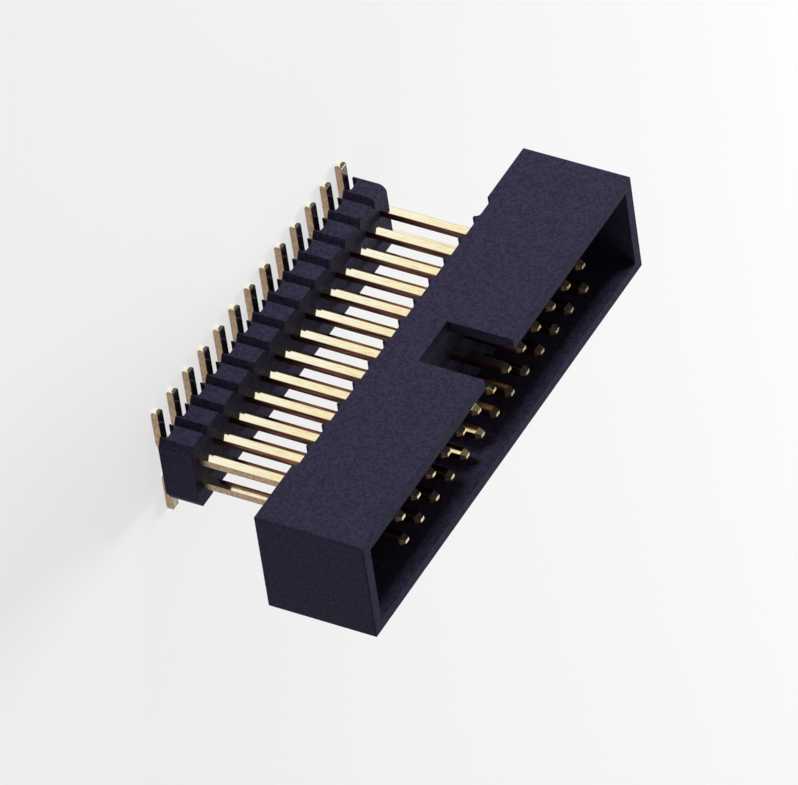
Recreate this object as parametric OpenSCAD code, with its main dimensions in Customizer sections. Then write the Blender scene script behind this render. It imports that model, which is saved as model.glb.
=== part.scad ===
// Two-row shrouded box header, 1.27 mm pitch, raised above the board on a spacer strip.
// It stands on its solder feet: +Z is the way the cable plug leaves, X runs along the rows,
// and the polarising slot is on the +Y side.

/* [Contacts] */
// Distance between neighbouring contacts, along a row and from row to row
pitch = 1.27; // [1.25:0.01:1.35]
// Contacts in each row
columns = 13; // [5:2:25]
// Width of a contact along the row
pin_w = 0.41; // [0.36:0.01:0.46]
// Thickness of a contact
pin_t = 0.31; // [0.25:0.01:0.38]
// How far the contact tips stop below the mating face
tip_drop = 0.39; // [0.3:0.01:0.8]
// Length of the coined taper at a contact tip
taper_l = 0.25; // [0.1:0.01:0.4]
// How much the taper takes off each side of the tip
taper_in = 0.08; // [0.03:0.01:0.1]
// Inside radius of the bend from the contact into its foot
bend_r = 0.2; // [0.12:0.01:0.25]
// Reach of a solder foot from the centre plane
foot_reach = 2.64; // [2.4:0.02:3.2]
// Corner radius of the end of a foot, seen from above
foot_r = 0.15; // [0.05:0.01:0.17]

/* [Shroud] */
// Height of the mating face above the board
stack_h = 11.29; // [10:0.01:15]
// Height of the shroud alone
shroud_h = 4.81; // [4.5:0.01:6]
// Width of the shroud across the rows
shroud_w = 4.83; // [4.7:0.01:5.5]
// Shroud length beyond the outermost contact centres, at each end
shroud_end = 3.71; // [3.2:0.01:4.5]
// Thickness of the long walls
side_wall = 0.52; // [0.4:0.01:0.6]
// Thickness of the end walls
end_wall = 0.53; // [0.4:0.01:0.7]
// Depth of the cavity and of the polarising slot
cavity_depth = 2.93; // [2.5:0.01:3.2]
// Width of the polarising slot
slot_w = 2.44; // [2:0.02:3]
// Width of the arched wash channels across the back
channel_w = 1.2; // [0.9:0.01:1.22]
// Depth of the wash channels
channel_depth = 0.24; // [0.23:0.01:0.4]
// Radius of the sides of the wash channels
channel_r = 0.22; // [0.05:0.01:0.22]
// Radius of the upright corners
corner_r = 0.12; // [0.05:0.01:0.2]
// Edge break round the mating face and the back
edge_break = 0.05; // [0.02:0.01:0.1]

/* [Spacer strip] */
// Gap from the board to the strip
strip_gap = 0.39; // [0.39:0.01:0.8]
// Height of the strip
strip_h = 1.49; // [1.3:0.01:2]
// Width of the strip over its blocks
strip_w = 3.22; // [3:0.02:3.6]
// Length of the outer face of one block along the row
block_l = 0.82; // [0.76:0.01:0.94]
// Depth of the V-shaped notches between the blocks
notch_depth = 0.38; // [0.2:0.01:0.5]
// Width of the flat at the bottom of a notch
notch_floor = 0.06; // [0.02:0.01:0.1]
// How far the last block runs past its contact centre
end_overhang = 0.44; // [0.4:0.01:0.6]
// Width of the arched groove over each pair of feet
groove_w = 0.7; // [0.6:0.01:0.72]
// Depth of the groove
groove_depth = 0.29; // [0.25:0.01:0.5]
// Radius of the upper corners of the groove
groove_r = 0.17; // [0.05:0.01:0.2]
// Radius of the upper long edges of the last block, at the gate end
gate_r = 0.35; // [0.1:0.05:0.4]

/* [Hidden] */
eps = 0.01;
arc_fn = 32;
rows = ["a", "b"];
row_side = [1, -1];
ids = [for (c = [1:columns]) str(c < 10 ? "0" : "", c)];
pin_names = [for (r = rows) for (id = ids) str("pin_", r, id)];

column_x = [for (c = [0:columns - 1]) (c - (columns - 1) / 2) * pitch];
row_y = pitch / 2;
tip_z = stack_h - tip_drop;
row_l = (columns - 1) * pitch;
shroud_l = row_l + 2 * shroud_end;
shroud_z = stack_h - shroud_h;
floor_z = stack_h - cavity_depth;
strip_top = strip_gap + strip_h;

// Rectangle with round corners, centred on the origin.
module round_rect(l, w, r) {
    square([l - 2 * r, w], center = true);
    square([l, w - 2 * r], center = true);
    for (x = [-1, 1]) {
        for (y = [-1, 1]) {
            translate([x * (l / 2 - r), y * (w / 2 - r)]) circle(r, $fn = arc_fn);
        }
    }
}

// Upright rectangle from bottom to top with its four corners cut at 45 degrees.
module broken_rect(l, bottom, top, c) {
    polygon([
        [-l / 2 + c, bottom],
        [l / 2 - c, bottom],
        [l / 2, bottom + c],
        [l / 2, top - c],
        [l / 2 - c, top],
        [-l / 2 + c, top],
        [-l / 2, top - c],
        [-l / 2, bottom + c],
    ]);
}

// Opening on the line z = 0, of width w and height h, with its upper corners rounded.
module arch(w, h, r) {
    round_rect(w, 2 * h, r);
}

// Extrudes an outline drawn in X and Z, centred on y = 0.
module along_y(length) {
    rotate([90, 0, 0]) linear_extrude(length, center = true) children();
}

// Extrudes an outline drawn in Y and Z, centred on x = 0.
module along_x(length) {
    rotate([90, 0, 90]) linear_extrude(length, center = true) children();
}

// Openings for both rows of contacts, the same size as the contacts.
module contact_holes(bottom, top) {
    for (x = column_x) {
        for (side = row_side) {
            translate([x - pin_w / 2, side * row_y - pin_t / 2, bottom]) cube([pin_w, pin_t, top - bottom]);
        }
    }
}

// Outside of the shroud, with every outer edge broken.
module shroud_block() {
    intersection() {
        translate([0, 0, shroud_z]) linear_extrude(shroud_h) round_rect(shroud_l, shroud_w, corner_r);
        along_y(shroud_w) broken_rect(shroud_l, shroud_z, stack_h, edge_break);
        along_x(shroud_l) broken_rect(shroud_w, shroud_z, stack_h, edge_break);
    }
}

// Hollow that takes the cable plug, open through the +Y wall at the polarising slot.
module plug_cavity() {
    cavity_l = shroud_l - 2 * end_wall;
    cavity_w = shroud_w - 2 * side_wall;
    translate([-cavity_l / 2, -cavity_w / 2, floor_z]) cube([cavity_l, cavity_w, cavity_depth + eps]);
    translate([-slot_w / 2, 0, floor_z]) cube([slot_w, shroud_w, cavity_depth + eps]);
}

// Arched channels across the back, one at each pair of contacts, which leave pointed ribs.
module wash_channels() {
    for (x = column_x) {
        translate([x, 0, shroud_z])
        along_y(2 * shroud_w)
        arch(channel_w, channel_depth, channel_r);
    }
}

module shroud() {
    color([0.09, 0.09, 0.11])
    difference() {
        shroud_block();
        plug_cavity();
        wash_channels();
        contact_holes(shroud_z, floor_z + eps);
    }
}

// Plan of the strip: blocks parted by notches. The strip starts in the middle of a notch,
// where it was cut from its stick, and ends flush at the last block.
module strip_plan() {
    start = column_x[0] - pitch / 2;
    end = column_x[columns - 1] + end_overhang;
    difference() {
        translate([start, -strip_w / 2]) square([end - start, strip_w]);
        for (x = column_x) {
            for (side = row_side) {
                translate([x - pitch / 2, side * strip_w / 2]) mirror([0, side < 0 ? 1 : 0]) notch();
            }
        }
    }
}

// Notch in the face y = 0, which narrows towards its flat bottom.
module notch() {
    mouth = (pitch - block_l) / 2;
    polygon([
        [-mouth, eps],
        [-mouth, 0],
        [-notch_floor / 2, -notch_depth],
        [notch_floor / 2, -notch_depth],
        [mouth, 0],
        [mouth, eps],
    ]);
}

// Rounds the upper long edges of the last block, at the gate end of the moulding.
module gate_rounding() {
    length = pitch / 2 + end_overhang;
    middle = column_x[columns - 1] + end_overhang - length / 2;
    for (side = row_side) {
        translate([middle, side * (strip_w / 2 - gate_r), strip_top - gate_r])
        mirror([0, side < 0 ? 1 : 0, 0])
        along_x(length + 2 * eps)
        difference() {
            square(gate_r + eps);
            circle(gate_r, $fn = arc_fn);
        }
    }
}

// Grooves over the feet, open at both long sides, where the contacts come out and bend away.
module foot_grooves() {
    for (x = column_x) {
        translate([x, 0, strip_gap])
        along_y(2 * strip_w)
        arch(groove_w, groove_depth, groove_r);
    }
}

module spacer_strip() {
    color([0.1, 0.1, 0.12])
    difference() {
        translate([0, 0, strip_gap]) linear_extrude(strip_h) strip_plan();
        gate_rounding();
        foot_grooves();
        contact_holes(strip_gap, strip_top + eps);
    }
}

// Upright bar of width w from the line bottom to the contact tip, where it tapers.
module tapered_bar(w, bottom) {
    shoulder = tip_z - taper_l;
    polygon([
        [-w / 2, bottom],
        [w / 2, bottom],
        [w / 2, shoulder],
        [w / 2 - taper_in, tip_z],
        [-w / 2 + taper_in, tip_z],
        [-w / 2, shoulder],
    ]);
}

// Contact seen from the end of the row: an upright blade, a quarter bend and a foot towards +Y
// with a round nose.
module pin_profile() {
    outer_r = bend_r + pin_t;
    inner = row_y - pin_t / 2;
    bend_y = inner + outer_r;
    nose_y = foot_reach - pin_t / 2;
    translate([row_y, 0]) tapered_bar(pin_t, outer_r);
    translate([bend_y, 0]) square([nose_y - bend_y, pin_t]);
    translate([nose_y, pin_t / 2]) circle(pin_t / 2, $fn = arc_fn);
    difference() {
        intersection() {
            translate([bend_y, outer_r]) circle(outer_r, $fn = arc_fn);
            translate([inner, 0]) square(outer_r);
        }
        translate([bend_y, outer_r]) circle(bend_r, $fn = arc_fn);
    }
}

// One contact: its side profile, tapered at the tip and with round corners on the foot.
module pin(x, side) {
    translate([x, 0, 0]) mirror([0, side < 0 ? 1 : 0, 0])
    intersection() {
        along_x(pin_w) pin_profile();
        along_y(3 * foot_reach) tapered_bar(pin_w, -pin_w);
        linear_extrude(3 * stack_h, center = true) round_rect(pin_w, 2 * foot_reach, foot_r);
    }
}

module contact(row, column) {
    color([0.93, 0.82, 0.5]) pin(column_x[column], row_side[row]);
}

shroud();
spacer_strip();
for (row = [0, 1]) {
    for (column = [0:columns - 1]) {
        contact(row, column);
    }
}
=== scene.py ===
"""Looks of a two-row shrouded box header with gold contacts, standing on its solder feet."""

import bpy
from mathutils import Matrix, Vector

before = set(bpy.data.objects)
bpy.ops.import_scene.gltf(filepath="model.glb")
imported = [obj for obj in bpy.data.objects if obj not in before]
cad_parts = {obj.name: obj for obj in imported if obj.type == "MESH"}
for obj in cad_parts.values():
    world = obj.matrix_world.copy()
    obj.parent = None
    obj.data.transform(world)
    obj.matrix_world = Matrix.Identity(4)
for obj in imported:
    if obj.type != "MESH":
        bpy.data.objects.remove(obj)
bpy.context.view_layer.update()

MM = 0.001
WHITE = (1, 1, 1, 1)

# Camera in millimetres, on the slot side beyond the near end, tipped so that the plug side is right
CAMERA_AT = (-269.84, 302.33, 189.09)
LOOKS_ALONG = (0.6061, -0.6814, -0.4103)
PICTURE_UP = (0.6440, 0.7232, -0.2496)
LENS = 510.1
SENSOR = 36.0
NEAREST_SEEN = 50
FARTHEST_SEEN = 20000

# Lamps: place and target in millimetres, side in millimetres, power in watts
LAMPS = {
    "key": ((50, 143, 23), (0, 0, 6), 26, 0.132),
    "overhead": ((10, 20, 200), (0, 0, 0), 60, 0.02),
    "back": ((127, -152, 168), (0, 0, 6), 130, 0.06),
    "rim": ((175, -30, 62), (0, 0, 10), 60, 0.42),
    "side": ((-150, -60, 50), (0, 0, 6), 60, 0.035),
}
WORLD_STRENGTH = 0.13

# Floor: length of its side in metres, its colour, and the share of plain white laid over it
FLOOR_SIZE = 4.0
FLOOR_COLOUR = (0.86, 0.86, 0.86, 1)
WHITE_TO_CAMERA = 0.68
WHITE_IN_REFLECTIONS = 0.88

# Contacts, as in the part's source
PITCH = 1.27 * MM
COLUMNS = 13
PIN_WIDTH = 0.41 * MM
OUTERMOST_X = (COLUMNS - 1) / 2 * PITCH

# Black plastic: colours in linear light, and shares of a colour where its pattern is strongest
BLUE_BLACK = (0.034, 0.037, 0.070, 1)
PURPLE_BLACK = (0.045, 0.034, 0.070, 1)
CLOUD_BLACK = (0.051, 0.042, 0.078, 1)
PORE_BLACK = (0.024, 0.021, 0.044, 1)
SPECK_GREY = (0.085, 0.080, 0.125, 1)
CLOUD_SHARE = 0.3
SPECK_SHARE = 0.7
PLASTIC_ROUGHNESS = 0.46
GRAIN_ROUGHNESS = 0.2

# Gold plate on the rolled faces
PALE_GOLD = (1.0, 0.97, 0.79, 1)
DEEP_GOLD = (0.97, 0.84, 0.45, 1)
LINE_BROWN = (0.62, 0.38, 0.16, 1)
EDGE_BROWN = (0.62, 0.36, 0.16, 1)
DEEP_SHARE_UPWARDS = 0.8
DEEP_SHARE_PATCHES = 0.3
LINE_SHARE_UPWARDS = 0.6
LINE_SHARE_BELOW = 0.15
EDGE_SHARE = 0.7
EDGE_WIDTH = 0.045 * MM
PLATE_ROUGHNESS = 0.03
PATCH_ROUGHNESS = 0.05

# Sheared sides of the contacts: real dull brown, darkened between contacts as painted shade and
# paled on feet, tips and row ends as painted light
SHADED_DARK_BROWN = (0.05, 0.022, 0.018, 1)
SHADED_RED_BROWN = (0.25, 0.105, 0.075, 1)
PAINTED_LIGHT_BROWN = (0.29, 0.195, 0.12, 1)
PAINTED_LIGHT_TAN = (0.44, 0.32, 0.215, 1)
PAINTED_LIGHT_SHARE_TIPS = 0.3
OUTWARD_FADE = 0.1 * MM
SHEARED_ROUGHNESS = 0.28

# Drawing marks run up the contacts, so their pattern hardly changes with height
DRAWN_SCALE = (1, 1, 0.08)

# Heights above the board, from where a look of the contacts begins to where it is full
ABOVE_FOOT = (0.45 * MM, 0.65 * MM)
TOWARDS_SHROUD = (2.5 * MM, 7.0 * MM)
AT_TIP = (10.55 * MM, 10.7 * MM)


class Link:
    """An output socket of a node, with arithmetic that adds Math nodes."""

    def __init__(self, nodes, socket):
        self.nodes = nodes
        self.socket = socket

    def __add__(self, other):
        return self.nodes.maths("ADD", self, other)

    def __sub__(self, other):
        return self.nodes.maths("SUBTRACT", self, other)

    def __rsub__(self, other):
        return self.nodes.maths("SUBTRACT", other, self)

    def __mul__(self, other):
        return self.nodes.maths("MULTIPLY", self, other)

    __radd__ = __add__
    __rmul__ = __mul__

    def between(self, low, high):
        """0 below low, 1 above high and a straight ramp in between."""
        return self.nodes.add("MapRange", {}, {
            "Value": self, "From Min": low, "From Max": high,
        })["Result"]


class Node:
    """A node whose outputs are read by name or number as Links."""

    def __init__(self, nodes, node):
        self.nodes = nodes
        self.node = node

    def __getitem__(self, output):
        return Link(self.nodes, self.node.outputs[output])


class Nodes:
    """The node tree of a material or of the world. Sockets that share a name go by number."""

    def __init__(self, owner):
        owner.use_nodes = True
        self.tree = owner.node_tree
        self.tree.nodes.clear()

    def add(self, kind, settings, values):
        """Adds a node: its settings first, then numbers, colours or Links for its inputs."""
        node = self.tree.nodes.new("ShaderNode" + kind)
        for name, value in settings.items():
            setattr(node, name, value)
        for name, value in values.items():
            if isinstance(value, Link):
                self.tree.links.new(value.socket, node.inputs[name])
            else:
                node.inputs[name].default_value = value
        return Node(self, node)

    def maths(self, operation, *values):
        return self.add("Math", {"operation": operation}, dict(enumerate(values)))["Value"]

    def noise(self, where, size, detail=3.0, roughness=0.5):
        """Noise from 0 to 1 with features of about size metres."""
        return self.add("TexNoise", {}, {
            "Vector": where, "Scale": 1 / size, "Detail": detail, "Roughness": roughness,
        })["Fac"]

    def mix(self, factor, first, second):
        """Colour that goes from first to second as factor goes from 0 to 1."""
        return self.add("Mix", {"data_type": "RGBA"}, {0: factor, 6: first, 7: second})[2]

    def mix_shaders(self, factor, first, second):
        """Shader that goes from first to second as factor goes from 0 to 1."""
        return self.add("MixShader", {}, {0: factor, 1: first, 2: second})["Shader"]


def new_material(name):
    material = bpy.data.materials.new(name)
    return material, Nodes(material)


def moulded_plastic():
    """Near-black filled plastic: blue and purple mottle, soft clouds, fine grain, pale specks."""
    material, nodes = new_material("moulded_black_plastic")
    where = nodes.add("TexCoord", {}, {})["Object"]
    cloud = nodes.noise(where, size=2.4 * MM)
    tint = nodes.noise(where, size=0.36 * MM, roughness=0.55)
    grain = nodes.noise(where, size=0.14 * MM, roughness=0.6)
    speck = nodes.noise(where, size=0.09 * MM, detail=1.0)
    base = nodes.mix(tint.between(0.42, 0.58), BLUE_BLACK, PURPLE_BLACK)
    base = nodes.mix(cloud.between(0.35, 0.7) * CLOUD_SHARE, base, CLOUD_BLACK)
    base = nodes.mix(grain.between(0.40, 0.58), PORE_BLACK, base)
    base = nodes.mix(speck.between(0.66, 0.8) * SPECK_SHARE, base, SPECK_GREY)
    rough = grain * GRAIN_ROUGHNESS + PLASTIC_ROUGHNESS
    bump = nodes.add("Bump", {}, {"Height": grain, "Distance": 0.012 * MM, "Strength": 0.6})
    surface = nodes.add("BsdfPrincipled", {}, {
        "Base Color": base,
        "Roughness": rough,
        "Normal": bump["Normal"],
        "Specular IOR Level": 0.04,
    })
    nodes.add("OutputMaterial", {}, {"Surface": surface["BSDF"]})
    return material


def rolled_face(nodes, place, lines, patches):
    """Cream gold, deeper and more lined towards the shroud, with a darker line along its edges."""
    off_centre = nodes.maths("PINGPONG", place["X"], PITCH / 2)
    at_edge = off_centre.between(PIN_WIDTH / 2 - EDGE_WIDTH, PIN_WIDTH / 2)
    upwards = place["Z"].between(*TOWARDS_SHROUD)
    deep = upwards * DEEP_SHARE_UPWARDS + patches.between(0.4, 0.6) * DEEP_SHARE_PATCHES
    lined = lines.between(0.52, 0.7) * (upwards * LINE_SHARE_UPWARDS + LINE_SHARE_BELOW)
    colour = nodes.mix(deep, PALE_GOLD, DEEP_GOLD)
    colour = nodes.mix(lined, colour, LINE_BROWN)
    return nodes.mix(at_edge * EDGE_SHARE, colour, EDGE_BROWN)


def sheared_side(nodes, place, where, drawn):
    """Red-brown sheared sides, darker between contacts as painted shade, and paler on feet, on tips
    and where the rows end as painted light.
    """
    outward = nodes.maths("ABSOLUTE", place["X"]).between(OUTERMOST_X, OUTERMOST_X + OUTWARD_FADE)
    foot = 1 - place["Z"].between(*ABOVE_FOOT)
    tip = place["Z"].between(*AT_TIP) * PAINTED_LIGHT_SHARE_TIPS
    # Painted light: the share of the paler colour on the free sides of the outermost contacts, on
    # the feet and on the tips
    painted_light_share = outward + (foot + tip)
    streaks = nodes.noise(drawn, size=0.12 * MM)
    mottle = nodes.noise(where, size=0.13 * MM, roughness=0.6)
    # Brown of the sheared metal with painted shade between the contacts, streaked along the drawing
    # marks
    inner_shaded_colour = nodes.mix(streaks.between(0.4, 0.62), SHADED_DARK_BROWN, SHADED_RED_BROWN)
    # Paler brown and tan, mottled, painted as light on the free sides, feet and tips
    painted_light_colour = nodes.mix(mottle.between(0.38, 0.62), PAINTED_LIGHT_BROWN, PAINTED_LIGHT_TAN)
    return nodes.mix(painted_light_share, inner_shaded_colour, painted_light_colour)


def plated_gold():
    """Polished gold plate on the rolled faces, and duller sides that look along the rows."""
    material, nodes = new_material("gold_plate")
    coords = nodes.add("TexCoord", {}, {})
    where = coords["Object"]
    place = nodes.add("SeparateXYZ", {}, {"Vector": where})
    facing = nodes.add("SeparateXYZ", {}, {"Vector": coords["Normal"]})
    sheared = nodes.maths("ABSOLUTE", facing["X"]).between(0.6, 0.8)
    drawn = nodes.add("Mapping", {}, {"Vector": where, "Scale": DRAWN_SCALE})["Vector"]
    lines = nodes.noise(drawn, size=0.05 * MM, detail=2.0)
    patches = nodes.noise(where, size=0.9 * MM)
    rolled_colour = rolled_face(nodes, place, lines, patches)
    sheared_colour = sheared_side(nodes, place, where, drawn)
    base = nodes.mix(sheared, rolled_colour, sheared_colour)
    rough = patches * PATCH_ROUGHNESS + PLATE_ROUGHNESS + sheared * SHEARED_ROUGHNESS
    bump = nodes.add("Bump", {}, {"Height": lines, "Distance": 0.002 * MM, "Strength": 0.5})
    surface = nodes.add("BsdfPrincipled", {}, {
        "Base Color": base,
        "Metallic": 1.0,
        "Roughness": rough,
        "Normal": bump["Normal"],
    })
    nodes.add("OutputMaterial", {}, {"Surface": surface["BSDF"]})
    return material


def pale_floor_finish():
    """Matt floor that shows near white to the camera and in reflections, and keeps the shadow."""
    material, nodes = new_material("pale_floor")
    path = nodes.add("LightPath", {}, {})
    shown = path["Is Camera Ray"] * WHITE_TO_CAMERA
    mirrored = (path["Is Glossy Ray"] + path["Is Transmission Ray"]) * WHITE_IN_REFLECTIONS
    matt = nodes.add("BsdfDiffuse", {}, {"Color": FLOOR_COLOUR})
    glow = nodes.add("Emission", {}, {"Color": WHITE, "Strength": 1.0})
    both = nodes.mix_shaders(shown + mirrored, matt["BSDF"], glow["Emission"])
    nodes.add("OutputMaterial", {}, {"Surface": both})
    return material


def put_finish(node, material):
    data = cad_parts[node].data
    data.materials.clear()
    data.materials.append(material)


def dress_nodes():
    plastic = moulded_plastic()
    gold = plated_gold()
    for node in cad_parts:
        put_finish(node, gold if node.startswith("pin_") else plastic)


def make_floor():
    bpy.ops.object.select_all(action="DESELECT")
    bpy.ops.mesh.primitive_plane_add(size=FLOOR_SIZE, location=(0, 0, 0))
    floor = bpy.context.object
    floor.name = "floor"
    floor.data.materials.append(pale_floor_finish())


def add_lamp(name, at, towards, side, power):
    """A square soft lamp that faces a point."""
    data = bpy.data.lights.new(name, "AREA")
    data.shape = "SQUARE"
    data.size = side * MM
    data.energy = power
    lamp = bpy.data.objects.new(name, data)
    bpy.context.scene.collection.objects.link(lamp)
    lamp.location = Vector(at) * MM
    lamp.rotation_euler = (Vector(at) - Vector(towards)).to_track_quat("Z", "Y").to_euler()
    lamp.visible_camera = False


def make_lights():
    for name, (at, towards, side, power) in LAMPS.items():
        add_lamp(name, at, towards, side, power)


def make_world():
    world = bpy.data.worlds.new("studio")
    bpy.context.scene.world = world
    nodes = Nodes(world)
    light = nodes.add("Background", {}, {"Color": WHITE, "Strength": WORLD_STRENGTH})
    nodes.add("OutputWorld", {}, {"Surface": light["Background"]})


def make_camera():
    data = bpy.data.cameras.new("camera")
    data.lens = LENS
    data.sensor_width = SENSOR
    data.clip_start = NEAREST_SEEN * MM
    data.clip_end = FARTHEST_SEEN * MM
    camera = bpy.data.objects.new("camera", data)
    bpy.context.scene.collection.objects.link(camera)
    back = -Vector(LOOKS_ALONG).normalized()
    right = Vector(PICTURE_UP).cross(back).normalized()
    turned = Matrix((right, back.cross(right), back)).transposed()
    camera.matrix_world = Matrix.Translation(Vector(CAMERA_AT) * MM) @ turned.to_4x4()
    bpy.context.scene.camera = camera


bpy.context.scene.view_settings.view_transform = "Standard"
make_camera()
make_world()
make_lights()
make_floor()
dress_nodes()
